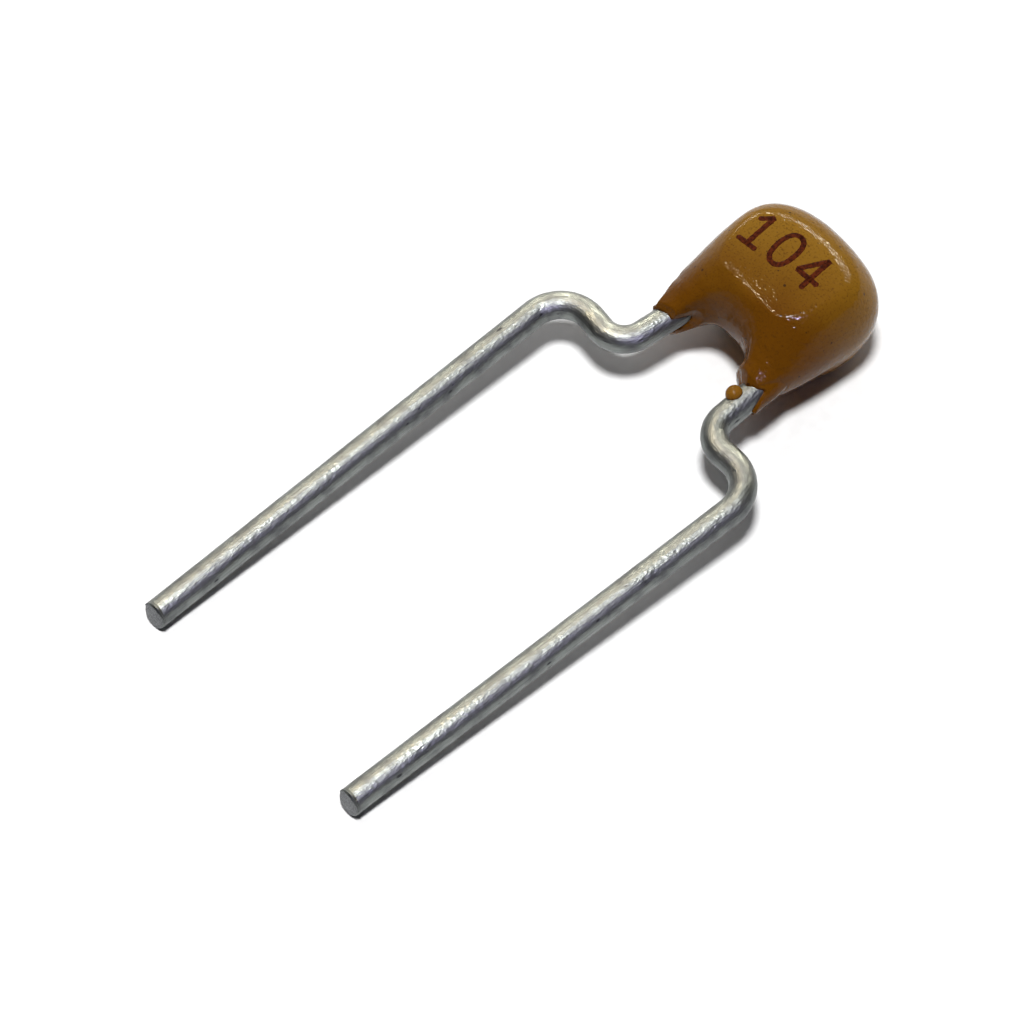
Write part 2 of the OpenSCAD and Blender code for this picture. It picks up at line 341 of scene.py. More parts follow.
@dataclass(frozen=True)
class TinnedWire(Finish):
    """Hot-tinned copper-clad steel wire: satin pale grey metal drawn along its length.

    The drawing die leaves fine lines along the wire, the tin freezes in small lumps and a frosted
    skin, and handling leaves pits and dull smudges, so a highlight runs down it as a broken streak.
    All its sizes are in mm.
    """

    name: str = "hot_tinned_wire"
    colour: str = "7E827F"
    dull_colour: str = "5E6060"
    pit_colour: str = "3E3F41"
    roughness: float = 0.4
    line_width: float = 0.018
    line_length: float = 1.6
    line_depth: float = 0.0025
    line_limits: Pair = (0.52, 0.68)
    line_strength: float = 0.6
    smudge_size: float = 0.35
    smudge_limits: Pair = (0.42, 0.7)
    gloss_limits: Pair = (0.3, 0.7)
    gloss_spread: Pair = (0.8, 1.3)
    pit_sizes: Pair = (0.16, 0.03)
    pit_luck: float = 0.35
    pit_rim: Pair = (-0.05, 0.06)
    pit_depth: float = 0.004
    lump_size: float = 0.12
    lump_depth: float = 0.006
    frost_size: float = 0.04
    frost_depth: float = 0.009
    squeeze: float = 0.45

    def material(self) -> bpy.types.Material:
        """Build the material; its patterns follow the wire through the wire_space attribute."""
        material, tree, shader = self.start()
        along = add_node(tree, "ShaderNodeAttribute", {"attribute_name": "wire_space"}).outputs["Vector"]
        stretched = self.stretch(tree, along, self.line_width / self.line_length)
        squeezed = self.stretch(tree, along, self.squeeze)
        # The frost and the pits are finer than this: they are drawn as coarse as they have to be
        # to show.
        lines = grains(tree, stretched, self.line_width, 2.0)
        smudge = grains(tree, along, self.smudge_size, 4.0)
        lump = grains(tree, along, self.lump_size, 2.0)
        frost = grains(tree, squeezed, self.frost_size, 2.0)
        pit = dots(tree, squeezed, self.pit_sizes, self.pit_luck, self.pit_rim)
        skin = blend(tree, ramp(tree, smudge, self.smudge_limits), self.colour, self.dull_colour)
        line_share = ramp(tree, lines, self.line_limits, (0.0, self.line_strength))
        skin = blend(tree, line_share, skin, self.dull_colour)
        skin = blend(tree, pit, skin, self.pit_colour)
        relief = bump(tree, lines, self.line_depth)
        relief = bump(tree, lump, self.lump_depth, relief)
        relief = bump(tree, frost, self.frost_depth, relief)
        relief = bump(tree, pit, self.pit_depth, relief, sunk=True)
        sheen = self.roughness * self.gloss_spread[0], self.roughness * self.gloss_spread[1]
        shader.inputs["Metallic"].default_value = 1.0
        tree.links.new(skin, shader.inputs["Base Color"])
        tree.links.new(ramp(tree, smudge, self.gloss_limits, sheen), shader.inputs["Roughness"])
        tree.links.new(relief, shader.inputs["Normal"])
        return material

    def stretch(self, tree: Tree, along: Socket, share: float) -> Socket:
        """Return places squeezed along the wire, which stretch a pattern that follows them."""
        settings = {"Scale": (share, 1, 1)}
        return add_node(tree, "ShaderNodeMapping", settings, {"Vector": along}).outputs["Vector"]


@dataclass(frozen=True)
class GrainyFinish(Finish):
    """A finish of two tones in fine grains with a matching bump; the base of the plainer ones."""

    colour: str = "808080"
    second_colour: str = "606060"
    metallic: float = 0.0
    roughness: float = 0.5
    ior: float = 1.5
    grain_size: float = 0.05
    grain_depth: float = 0.002
    grain_limits: Pair = (0.4, 0.62)

    def material(self) -> bpy.types.Material:
        """Build the material."""
        material, tree, shader = self.start()
        grain = grains(tree, self.place(tree), self.grain_size * MM, 3.0)
        skin = blend(tree, ramp(tree, grain, self.grain_limits), self.colour, self.second_colour)
        shader.inputs["Metallic"].default_value = self.metallic
        shader.inputs["Roughness"].default_value = self.roughness
        if not self.metallic:
            shader.inputs["IOR"].default_value = self.ior
        tree.links.new(skin, shader.inputs["Base Color"])
        tree.links.new(bump(tree, grain, self.grain_depth), shader.inputs["Normal"])
        return material


# Each finish below gives, after its name: its two tones, metallic, roughness, index of refraction
# (unused by metals), grain size and grain depth in mm.

# Steel core bared by side cutters: a dull grey face with torn grains.
SHEARED_STEEL = GrainyFinish("sheared_steel", "767879", "545658", 1.0, 0.42, 1.5, 0.03, 0.004)
# Ink pressed on the baked coat by a pad: dark red-brown, blotchy where it is thin, and with so low
# an index of refraction that it shines no more than the coat round it.
PAD_INK = GrainyFinish("pad_printed_ink", "54220F", "34130A", 0.0, 0.3, 1.08, 0.05, 0.0008)
# Sintered barium titanate: a dense, chalky cream body.
FIRED_CERAMIC = GrainyFinish("fired_barium_titanate", "C9B99A", "B5A483", 0.0, 0.6, 1.8, 0.02, 0.001)
# Screen-printed nickel paste fired with the ceramic: thin grey metal, slightly rough.
FIRED_NICKEL = GrainyFinish("fired_nickel_plate", "9E9A94", "7F7B75", 1.0, 0.45, 1.5, 0.02, 0.001)
# Fired end paste under plated tin: an even, matt silver-grey cap.
PLATED_TIN = GrainyFinish("plated_end_tin", "C4C5C8", "A6A7AA", 1.0, 0.5, 1.5, 0.03, 0.002)
# Soft solder that froze round the wire: bright with a slightly crystalline surface.
FROZEN_SOLDER = GrainyFinish("frozen_solder", "BDBEC1", "9B9DA1", 1.0, 0.32, 1.5, 0.12, 0.004)
# Uncoated white card: matt and even.
WHITE_CARD = GrainyFinish("white_card", "F4F4F4", "F0F0F0", 0.0, 0.9, 1.4, 0.3, 0.001)


# ---- How the part lies ----


class BodyFrame:
    """The body's own axes: X across the legs, -Y down them, Z out of the face, in mm from the chip."""

    def __init__(self, left_lean: float) -> None:
        """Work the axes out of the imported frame.

        Args:
            left_lean: angle in degrees between the left leg and the body's own -Y.
        """
        mounts = {mount["name"]: Vector(mount["axis"]) for mount in frame["record"]["mounts"]}
        left = mounts["left_lead"].normalized()
        normal = left.cross(mounts["right_lead"]).normalized()
        normal = normal if normal.z > 0 else -normal
        down = Matrix.Rotation(-math.radians(left_lean), 3, normal) @ left
        low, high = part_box("ceramic_block")
        across = normal.cross(down).normalized()
        turn = Matrix((across, -down, normal)).transposed().to_4x4()
        self.matrix: Matrix = Matrix.Translation((low + high) / 2) @ turn @ Matrix.Scale(MM, 4)

    def settle(self, mesh: Mesh) -> Mesh:
        """Take a mesh from the body's mm to its place in the frame's metres."""
        bmesh.ops.transform(mesh, matrix=self.matrix, verts=mesh.verts)
        return mesh


class Side(Enum):
    """The two sides of the body, as the sign of their X."""

    LEFT = -1
    RIGHT = 1


# ---- The legs ----


@dataclass
class Leg:
    """One wire: straight beside the chip, splayed, kinked outwards and back, then long and straight."""

    side: Side
    reach: float
    lean: float
    length: float
    offset: float = 1.045
    radius: float = 0.25
    top: float = 0.46
    splay_start: float = 1.45
    splay: float = 4.0
    splay_bend: float = 1.0
    neck: float = 0.77
    inner_bend: float = 0.5
    outer_bend: float = 0.68
    kink: float = 90.0
    sides: int = 56
    step: float = 0.06
    bend_fineness: float = 1.6
    waviness: float = 0.004
    wave_height: float = 0.6
    wave_swing: float = 0.5
    waves_along: float = 0.9
    waves_round: float = 3.2
    tip_round: float = 0.035
    tip_slant: float = 0.14
    tip_pivot: float = 0.28
    seed: float = 0.0

    @property
    def name(self) -> str:
        """Return the leg's node name."""
        return f"{self.side.name.lower()}_lead"

    def axis_x(self, y: float) -> float:
        """Return where the wire's middle is across the body, before the kink.

        Args:
            y: height in the body, which falls down the legs.

        Returns:
            The middle's X, positive on either side.
        """
        angle = math.radians(self.splay)
        bend_end = -self.splay_start - self.splay_bend * math.sin(angle)
        if y > -self.splay_start:
            return self.offset
        if y > bend_end:
            share = (-self.splay_start - y) / self.splay_bend
            return self.offset + self.splay_bend * (1 - math.sqrt(1 - share * share))
        return self.offset + self.splay_bend * (1 - math.cos(angle)) + (bend_end - y) * math.tan(angle)

    def run_length(self) -> float:
        """Return the length of the kink's sideways run that brings the wire to its reach."""
        splay, turned = math.radians(self.splay), math.radians(self.splay + self.kink)
        x = self.offset + self.splay_bend * (1 - math.cos(splay)) + self.neck * math.sin(splay)
        x += self.inner_bend * (math.cos(splay) - math.cos(turned))
        outer = self.outer_bend * (math.cos(math.radians(self.lean)) - math.cos(turned))
        return (self.reach - outer - x) / math.sin(turned)

    def draw(self) -> Mesh:
        """Draw the wire ring by ring down its path.

        Returns:
            The mesh in the body's mm, with each point's place in the wire's own space.
        """
        mesh = bmesh.new()
        space = mesh.verts.layers.float_vector.new("wire_space")
        turn = Matrix.Rotation(math.radians(90), 3, "X")
        bmesh.ops.create_circle(mesh, cap_ends=True, radius=self.radius, segments=self.sides)
        bmesh.ops.rotate(mesh, cent=(0, 0, 0), matrix=turn, verts=mesh.verts)
        for vert in mesh.verts:
            vert[space] = (self.seed, vert.co.x, vert.co.z)
        bmesh.ops.translate(mesh, vec=(self.offset, self.top, 0), verts=mesh.verts)
        self._ring = list(mesh.edges)
        self._heading = 0.0
        self._centre = Vector((self.offset, self.top, 0))
        self._run(mesh, space, self.top + self.splay_start)
        self._bend(mesh, space, self.splay_bend, self.splay)
        self._run(mesh, space, self.neck)
        self._bend(mesh, space, self.inner_bend, self.kink)
        self._run(mesh, space, self.run_length())
        self._bend(mesh, space, self.outer_bend, -self.splay - self.kink - self.lean)
        self._run(mesh, space, self.length)
        self._cut_tip(mesh)
        self._roughen(mesh, space)
        if self.side is Side.LEFT:
            bmesh.ops.scale(mesh, vec=(-1, 1, 1), verts=mesh.verts)
        bmesh.ops.recalc_face_normals(mesh, faces=mesh.faces)
        return mesh

    def _direction(self) -> Vector:
        """Return the way that the wire heads now."""
        return Vector((math.sin(self._heading), -math.cos(self._heading), 0))

    def _grow(self, mesh: Mesh, space: Layer, length: float) -> list[bmesh.types.BMVert]:
        """Add a ring on top of the last one and count its place along the wire."""
        grown = bmesh.ops.extrude_edge_only(mesh, edges=self._ring)["geom"]
        verts = [item for item in grown if isinstance(item, bmesh.types.BMVert)]
        fresh = set(verts)
        edges = [item for item in grown if isinstance(item, bmesh.types.BMEdge)]
        self._ring = [edge for edge in edges if all(vert in fresh for vert in edge.verts)]
        for vert in verts:
            vert[space] = vert[space] + Vector((length, 0, 0))
        return verts

    def _run(self, mesh: Mesh, space: Layer, length: float) -> None:
        """Draw a straight stretch."""
        steps = max(1, round(length / self.step))
        for _ in range(steps):
            verts = self._grow(mesh, space, length / steps)
            bmesh.ops.translate(mesh, vec=self._direction() * (length / steps), verts=verts)
        self._centre += self._direction() * length

    def _bend(self, mesh: Mesh, space: Layer, radius: float, degrees: float) -> None:
        """Draw a bend, outwards when its angle is positive."""
        angle = math.radians(degrees)
        steps = max(3, round(abs(angle) * radius / self.step * self.bend_fineness))
        sideways = UP.cross(self._direction()) * (radius * math.copysign(1, angle))
        hub = self._centre + sideways
        for _ in range(steps):
            verts = self._grow(mesh, space, radius * abs(angle) / steps)
            turn = Matrix.Rotation(angle / steps, 3, "Z")
            bmesh.ops.rotate(mesh, cent=hub, matrix=turn, verts=verts)
        self._heading += angle
        self._centre = hub + Matrix.Rotation(angle, 3, "Z") @ -sideways

    def _cut_tip(self, mesh: Mesh) -> None:
        """Close the tip as side cutters leave it: slanted a little, with a worn rim."""
        tip = bmesh.ops.edgeloop_fill(mesh, edges=self._ring, mat_nr=1)["faces"]
        heading = self._direction()
        for vert in tip[0].verts:
            vert.co -= heading * (self.tip_slant * (self.tip_pivot + vert.co.z / (2 * self.radius)))
        bmesh.ops.bevel(
            mesh, geom=self._ring, offset=self.tip_round, segments=3, profile=0.5, affect="EDGES", material=-1
        )

    def _roughen(self, mesh: Mesh, space: Layer) -> None:
        """Press the surface in a little here and there, as handled soft wire is.

        The faces still look inwards here, so that a step along their normals is a dent.
        """
        mesh.normal_update()
        pace = Vector((self.waves_along, self.waves_round, self.waves_round))
        for vert in mesh.verts:
            wave = self.wave_height + self.wave_swing * noise.noise(vert[space] * pace)
            vert.co += vert.normal * (self.waviness * wave)


# ---- The dipped coat ----


@dataclass
class LegCoat:
    """Where the coat ends on one leg.

    The edge is given by its drop below the chip's middle at angles round the wire, from its top
    towards the outside, in degrees and mm.
    """

    leg: Leg
    end: float
    stretched_end: float
    edge: tuple[Pair, ...]
    wave_size: float = 0.09
    wave_depth: float = 0.016
    smoothing: int = 3

    def edge_places(self, count: int = 180) -> list[Pair]:
        """Return the edge as places round and down the wire, slightly wavy.

        Args:
            count: the number of places, all round.

        Returns:
            Pairs of angle in degrees and drop in mm.
        """
        knots = list(self.edge) + [(self.edge[0][0] + 360, self.edge[0][1])]
        angles = [self.edge[0][0] + 360 * i / count for i in range(count)]
        drops = []
        for angle in angles:
            for (a, drop_a), (b, drop_b) in zip(knots, knots[1:]):
                if a <= angle <= b:
                    drops.append(mix(drop_a, drop_b, (angle - a) / (b - a)))
                    break
        for _ in range(self.smoothing):
            drops = [(drops[i - 1] + drops[i] + drops[(i + 1) % count]) / 3 for i in range(count)]
        places = []
        for angle, drop in zip(angles, drops):
            turn = math.radians(angle)
            spot = Vector((math.sin(turn), math.cos(turn), self.leg.side.value))
            spot *= self.leg.radius / self.wave_size
            places.append((angle, drop + self.wave_depth * noise.noise(spot)))
        return places


@dataclass
class DippedCoat:
    """The coat round the chip and the tops of the legs, in mm from the chip's middle."""

    legs: dict[Side, LegCoat]
    half_width: float = 1.53
    half_thickness: float = 1.06
    crown: float = 1.5
    arch: float = 1.12
    underside_power: float = 12
    underside_meniscus_power: float = 0.35
    leg_radius: float = 0.32
    leg_offset: float = 1.045
    shoulder: float = 0.35
    shift: float = 0.1
    leg_shift: float = 0.07
    flat_half_width: float = 1.0
    flat_top: float = 0.7
    flat_bottom: float = 0.63
    flat_corner: float = 0.72
    flat_corner_x: float = 0.62
    flat_shoulder: float = 0.3
    flat_bulge: float = 0.04
    crown_fullness: float = 0.71
    flat_fullness: float = 0.6
    side_drop: float = 0.67
    flat_side_drop: float = 0.5
    outer_nose: float = 0.288
    flat_outer_nose: float = 0.285
    inner_nose: float = 0.688
    flat_inner_nose: float = 0.217
    arch_fullness: float = 0.82
    flat_arch_fullness: float = 0.35
    slimming: float = 0.64
    meniscus_power: float = 0.85
    crown_steps: int = 52
    side_steps: int = 52
    arch_steps: int = 52
    levels: int = 150
    side_share: float = 0.74
    rim_share: float = 0.6
    rim_end: float = -1.3
    rim_smoothing: int = 40
    lump_size: float = 0.75
    lump_depth: float = 0.012
    small_lump_size: float = 0.4
    small_lump_depth: float = 0.25
    film: float = 0.032
    film_round: float = 0.03
    film_slope: float = 0.9
    film_flare: float = 6.0
    film_past_edge: float = -0.06
    film_least: float = -0.004
    tuck: float = 0.014
    web_half_width: float = 0.4
    wetting_length: float = 0.15
    sleeve_top: float = 1.05
    sleeve_rows: int = 34
    sleeve_bunching: float = 1.8
    sleeve_root: float = 0.05
    sleeve_sink: float = 0.03
    sleeve_sink_start: float = 0.6
    sleeve_slack: float = 0.01
    stretch_length: float = 0.3

    def curve(self, a: Vector, b: Vector, c: Vector, d: Vector, steps: int) -> list[Vector]:
        """Return points on a curve from a to just short of d."""
        return list(interpolate_bezier(a, b, c, d, steps + 1))[:-1]

    def half_outline(self, z: float, side: Side) -> list[Vector]:
        """Return half of the coat's outline at one height: crown, shoulder, leg end, arch.

        Args:
            z: height above the plane of the legs.
            side: the half that is wanted.

        Returns:
            Points with X positive on either side.
        """
        round_off = math.sqrt(max(0, 1 - (z / self.half_thickness) ** 2))
        climb = max(0, (abs(z) - self.leg_radius) / (self.half_thickness - self.leg_radius))
        slim = math.sqrt(1 - self.slimming * (min(abs(z), self.leg_radius) / self.leg_radius) ** 2)
        leg_middle = self.leg_offset + side.value * (self.shift - self.leg_shift)
        shoulder = Vector(
            (
                mix(self.flat_half_width, self.half_width, round_off),
                mix(self.flat_shoulder, self.shoulder, round_off),
            )
        )
        crown = Vector((0, mix(self.flat_top, self.crown, round_off)))
        web = round_off if z > 0 else round_off**self.underside_power
        arch = Vector((0, -mix(self.flat_bottom, self.arch, web)))
        power = self.meniscus_power if z > 0 else self.underside_meniscus_power
        leg = Vector(
            (
                mix(leg_middle, self.flat_corner_x, climb),
                -mix(self.legs[side].end, self.flat_corner, climb**power),
            )
        )
        outer_nose = mix(self.outer_nose * slim, self.flat_outer_nose, climb)
        inner_nose = mix(self.inner_nose * slim, self.flat_inner_nose, climb)
        arch_width = mix(
            leg_middle * self.arch_fullness, self.flat_corner_x * self.flat_arch_fullness, climb
        )
        fullness = mix(self.crown_fullness, self.flat_fullness, climb)
        drop = (shoulder.y - leg.y) * mix(self.side_drop, self.flat_side_drop, climb)
        over = Vector((shoulder.x * fullness, 0))
        rise = Vector((0, (crown.y - shoulder.y) * fullness))
        stretches = (
            (crown, crown + over, shoulder + rise, shoulder, self.crown_steps),
            (shoulder, shoulder - Vector((0, drop)), leg + Vector((outer_nose, 0)), leg, self.side_steps),
            (leg, leg - Vector((inner_nose, 0)), arch + Vector((arch_width, 0)), arch, self.arch_steps),
        )
        return [point for stretch in stretches for point in self.curve(*stretch)] + [arch]

    def outline(self, z: float) -> list[Vector]:
        """Return the whole outline at one height, clockwise from the crown as seen from above."""
        right = self.half_outline(z, Side.RIGHT)
        left = self.half_outline(z, Side.LEFT)
        points = [Vector((p.x - self.shift, p.y, z)) for p in right]
        return points + [Vector((-p.x - self.shift, p.y, z)) for p in reversed(left[1:-1])]

    def level(self, share: float) -> list[Vector]:
        """Return the ring of places for one latitude.

        Args:
            share: the latitude as a share of the way from the plane of the legs to a pole.

        Returns:
            The ring's places; on the flat they shrink towards its middle.
        """
        climb = abs(share) / self.side_share
        side = math.copysign(1, share)
        if climb <= 1:
            return self.outline(self.half_thickness * math.sin(math.radians(90) * climb) * side)
        size = (1 - abs(share)) / (1 - self.side_share)
        middle = Vector((-self.shift, (self.flat_top - self.flat_bottom) / 2, 0))
        top = side * (self.half_thickness + self.flat_bulge * (1 - size * size))
        ring = [middle.lerp(p, size) for p in self.outline(self.half_thickness)]
        return [Vector((p.x, p.y, top)) for p in ring]

    def dip(self) -> Mesh:
        """Shape the coat from a sphere, whose latitudes and longitudes become levels and outlines.

        Returns:
            The mesh in the body's mm.
        """
        count = 2 * (self.crown_steps + self.side_steps + self.arch_steps)
        mesh = bmesh.new()
        bmesh.ops.create_uvsphere(mesh, u_segments=count, v_segments=self.levels, radius=1)
        rings: dict[int, list[Vector]] = {}
        shares: dict[bmesh.types.BMVert, float] = {}
        for vert in mesh.verts:
            share = math.asin(max(-1.0, min(1.0, vert.co.z))) / math.radians(90)
            index = round(share * self.levels / 2)
            if index not in rings:
                rings[index] = self.level(2 * index / self.levels)
            longitude = math.atan2(vert.co.x, vert.co.y)
            shares[vert] = share
            vert.co = rings[index][round(longitude / math.tau * count) % count]
        self._soften_rim(mesh, shares)
        self._add_lumps(mesh)
        for side in Side:
            self._wet_leg(mesh, self.legs[side])
        mesh.normal_update()
        return mesh

    def _soften_rim(self, mesh: Mesh, shares: dict[bmesh.types.BMVert, float]) -> None:
        """Round off the rim where the flats meet the flanks, away from the leg ends."""
        start = self.side_share * self.rim_share
        rim = [vert for vert, share in shares.items() if abs(share) > start and vert.co.y > self.rim_end]
        for _ in range(self.rim_smoothing):
            bmesh.ops.smooth_vert(
                mesh, verts=rim, factor=0.5, use_axis_x=True, use_axis_y=True, use_axis_z=True
            )

    def _add_lumps(self, mesh: Mesh) -> None:
        """Sink the skin unevenly, as resin that sagged while it was baked."""
        mesh.normal_update()
        for vert in mesh.verts:
            wave = 0.5 + 0.5 * noise.noise(vert.co / self.lump_size)
            wave += self.small_lump_depth * noise.noise(vert.co / (self.small_lump_size * self.lump_size))
            vert.co -= vert.normal * (self.lump_depth * max(0.0, wave))

    def _wet_leg(self, mesh: Mesh, coat: LegCoat) -> None:
        """Draw the coat back to the wire near its edge and lay a sleeve with a rounded lip there."""
        skin = BVHTree.FromBMesh(mesh)
        leg, sign = coat.leg, coat.leg.side.value
        places = coat.edge_places()
        for vert in mesh.verts:
            if vert.co.x * sign < self.web_half_width or vert.co.y > -self.sleeve_top:
                continue
            across = sign * vert.co.x - leg.axis_x(vert.co.y)
            girth = math.hypot(across, vert.co.z)
            if girth < 0.5 * leg.radius:
                continue
            angle = math.atan2(across, vert.co.z)
            ahead = self._distance_to_edge(places, angle, vert.co.y, leg.radius)
            near = smoothstep(-self.sleeve_top, -self.sleeve_top - self.wetting_length, vert.co.y)
            thickness = min(girth - leg.radius, self._thickness(ahead) - self.tuck) - self.tuck
            girth = mix(girth, leg.radius + thickness, near)
            middle = leg.axis_x(vert.co.y)
            vert.co = Vector((sign * (middle + girth * math.sin(angle)), vert.co.y, girth * math.cos(angle)))
        self._lay_sleeve(mesh, coat, places, skin)

    def _thickness(self, ahead: float) -> float:
        """Return how thick the coat may be at a distance from its edge, with a round lip at the edge."""
        if ahead <= 0:
            return self.film_past_edge
        lip = self.film * math.sqrt(1 - (1 - min(1.0, ahead / self.film_round)) ** 2)
        return lip + self.film_slope * ahead + self.film_flare * ahead * ahead

    def _lay_sleeve(self, mesh: Mesh, coat: LegCoat, places: list[Pair], skin: BVHTree) -> None:
        """Lay the last stretch of the coat on the wire, from its edge up into the body.

        Args:
            mesh: the coat's mesh, which gets the sleeve.
            coat: where the coat ends on this leg.
            places: the edge as places round and down the wire.
            skin: the coat before it was drawn back.
        """
        leg, sign = coat.leg, coat.leg.side.value
        count, rows = len(places), self.sleeve_rows
        grid = bmesh.ops.create_grid(mesh, x_segments=count, y_segments=rows, size=0.5)["verts"]
        faces = {face for vert in grid for face in vert.link_faces}
        for vert in grid:
            place, drop = places[round((vert.co.x + 0.5) * count) % count]
            row = round((vert.co.y + 0.5) * rows) % rows
            angle = math.radians(place)
            climb = ((max(row, 1) - 1) / (rows - 3)) ** self.sleeve_bunching if row < rows - 1 else 1.0
            y = -mix(drop, self.sleeve_top, climb)
            way = Vector((sign * math.sin(angle), 0, math.cos(angle)))
            middle = Vector((sign * leg.axis_x(y), y, 0))
            if row in (0, rows - 1):
                girth = leg.radius - self.sleeve_root
            else:
                start = coat.end - self.stretch_length
                squeeze = (coat.end - start) / (coat.stretched_end - start)
                unstretched = -start + (y + start) * squeeze if y < -start else y
                source = Vector((sign * leg.axis_x(unstretched), unstretched, 0))
                hit = skin.ray_cast(source, way)[3]
                full = max(self.leg_radius - self.sleeve_slack, hit or 0.0)
                ahead = self._distance_to_edge(places, angle, y, leg.radius) if row > 1 else 0.0
                sink = self.sleeve_sink * smoothstep(self.sleeve_sink_start, 1.0, climb)
                girth = min(full, leg.radius + max(self.film_least, self._thickness(ahead))) - sink
            vert.co = middle + way * girth
        bmesh.ops.remove_doubles(mesh, verts=grid, dist=1e-6)
        faces = [face for face in faces if face.is_valid]
        for face in faces:
            face.normal_update()
        bmesh.ops.recalc_face_normals(mesh, faces=faces)

    def _distance_to_edge(self, places: list[Pair], angle: float, y: float, radius: float) -> float:
        """Return how far a place on a wire is from the coat's edge, positive under the coat."""
        nearest, under = math.inf, False
        closest_turn = math.inf
        for place_angle, drop in places:
            turn = (math.degrees(angle) - place_angle + 180) % 360 - 180
            distance = math.hypot(math.radians(turn) * radius, y + drop)
            nearest = min(nearest, distance)
            if abs(turn) < closest_turn:
                closest_turn = abs(turn)
                under = y > -drop
        return nearest if under else -nearest


# ---- The stray droplet ----


@dataclass
class Droplet:
    """A bead of resin that ran down and stuck on the right leg."""

    leg: Leg
    drop: float = 1.92
    radius: float = 0.142
    angle: float = 30.0
    rise: float = 0.02
    squash: float = 0.92
    length: float = 1.05
    foot: Pair = (0.35, -0.1)
    foot_spread: Pair = (0.04, 0.06)

    def shape(self) -> Mesh:
        """Shape the bead with a slightly spread foot.

        Returns:
            The mesh in the body's mm.
        """
        mesh = bmesh.new()
        bmesh.ops.create_uvsphere(mesh, u_segments=48, v_segments=32, radius=self.radius)
        for vert in mesh.verts:
            height = vert.co.z / self.radius
            foot = smoothstep(*self.foot, height)
            vert.co.x *= 1 + self.foot_spread[0] * foot
            vert.co.y *= self.length + self.foot_spread[1] * foot
            vert.co.z *= self.squash
        turn = Matrix.Rotation(-math.radians(self.angle), 4, "Y")
        stand = Matrix.Translation((0, 0, self.leg.radius + self.rise))
        middle = Matrix.Translation((self.leg.axis_x(-self.drop), -self.drop, 0))
        bmesh.ops.transform(mesh, matrix=middle @ turn @ stand, verts=mesh.verts)
        return mesh


# ---- The stamped number ----


